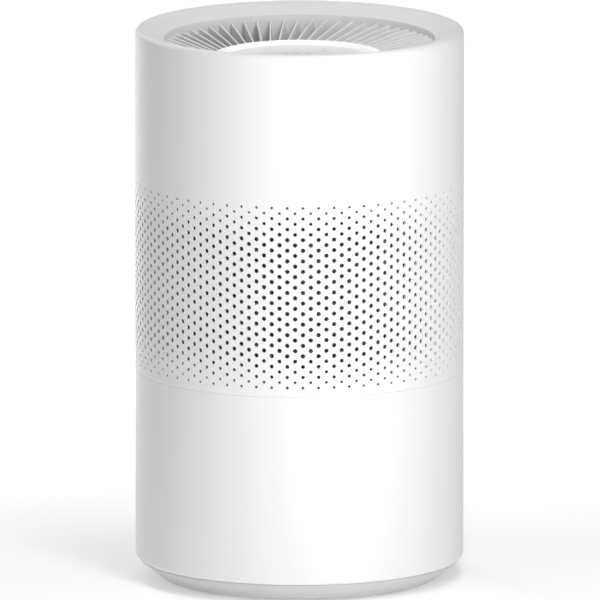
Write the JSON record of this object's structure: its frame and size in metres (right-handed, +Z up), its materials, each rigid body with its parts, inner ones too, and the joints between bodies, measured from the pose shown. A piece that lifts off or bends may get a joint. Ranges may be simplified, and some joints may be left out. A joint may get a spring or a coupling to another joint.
{
  "type": "air purifier",
  "caption": "Upright cylindrical air purifier with a perforated intake band, swirl outlet grille, round touch disc and twist-off filter cover.",
  "frame": {"origin": "centre of the circle that the rubber feet stand on, at floor height", "axes": "+Z up along the axis of the body, -Y towards the front, where the touch marks are read from"},
  "size_m": [0.22, 0.22, 0.3726],
  "materials": {
    "casing_white": "fine satin moulded, white",
    "cover_grey": "fine satin moulded, light grey",
    "grille_white": "satin moulded, white",
    "rim_white": "gloss, white",
    "panel_white": "satin touch panel",
    "inner_white": "plain moulded",
    "light_clear": "clear light guide",
    "board_green": "circuit board",
    "part_black": "plain",
    "rubber_grey": "soft matte",
    "steel": "zinc plated",
    "core_steel": "laminated",
    "copper": "enamelled copper wire",
    "magnet": "ferrite",
    "brass_nut": "turned",
    "sensor_grey": "plain",
    "lead_red": "lead insulation",
    "plunger_ivory": "plain",
    "foam_grey": "closed cell foam",
    "mesh_fabric": "fine net",
    "media_paper": "pleated filter paper",
    "carbon": "carbon coated",
    "tab_blue": "woven strap"
  },
  "bodies": {
    "housing": {"upper_casing": "casing_white", "lower_casing": "casing_white", "outlet_grille": "grille_white", "panel_rim": "rim_white", "control_panel": "panel_white", "light_guide": "light_clear", "touch_board": "board_green", "disc_housing": "inner_white", "fan_housing": "inner_white", "fan_deck": "inner_white", "inlet_guard": "steel", "motor_base": "steel", "motor_grommets": "rubber_grey", "motor_screws": "steel", "stator_core": "core_steel", "stator_coils": "copper", "motor_bearings": "steel", "main_board": "board_green", "board_parts": "part_black", "board_screws": "steel", "sensor_module": "sensor_grey", "dc_jack": "part_black", "jack_contact": "steel", "supply_lead": "lead_red", "interlock_switch": "part_black", "casing_screws": "steel", "deck_screws": "steel", "filter_bottom_cap": "inner_white", "filter_top_cap": "inner_white", "filter_gasket": "foam_grey", "prefilter_mesh": "mesh_fabric", "hepa_media": "media_paper", "carbon_core": "carbon", "filter_pull_tab": "tab_blue"},
    "fan": {"impeller": "inner_white", "rotor_can": "core_steel", "rotor_magnets": "magnet", "motor_shaft": "steel", "impeller_nut": "brass_nut"},
    "cover": {"base_cover": "cover_grey", "rubber_feet": "rubber_grey"},
    "plunger": {"switch_plunger": "plunger_ivory"}
  },
  "joints": [
    {"name": "fan_spin", "type": "hinge", "parent": "housing", "child": "fan", "pos_m": [0, 0, 0.3], "axis": [0, 0, 1], "continuous": true},
    {"name": "cover_twist", "type": "hinge", "parent": "housing", "child": "cover", "pos_m": [0, 0, 0.0139], "axis": [0, 0, 1], "range_deg": [-20, 0]},
    {"name": "plunger_travel", "type": "slide", "parent": "housing", "child": "plunger", "axis": [0, 0, -1], "range_m": [0, 0.0015]}
  ],
  "couplings": [
    {"joint": "plunger_travel", "follows": "cover_twist", "m_per_rad": -0.00425}
  ]
}
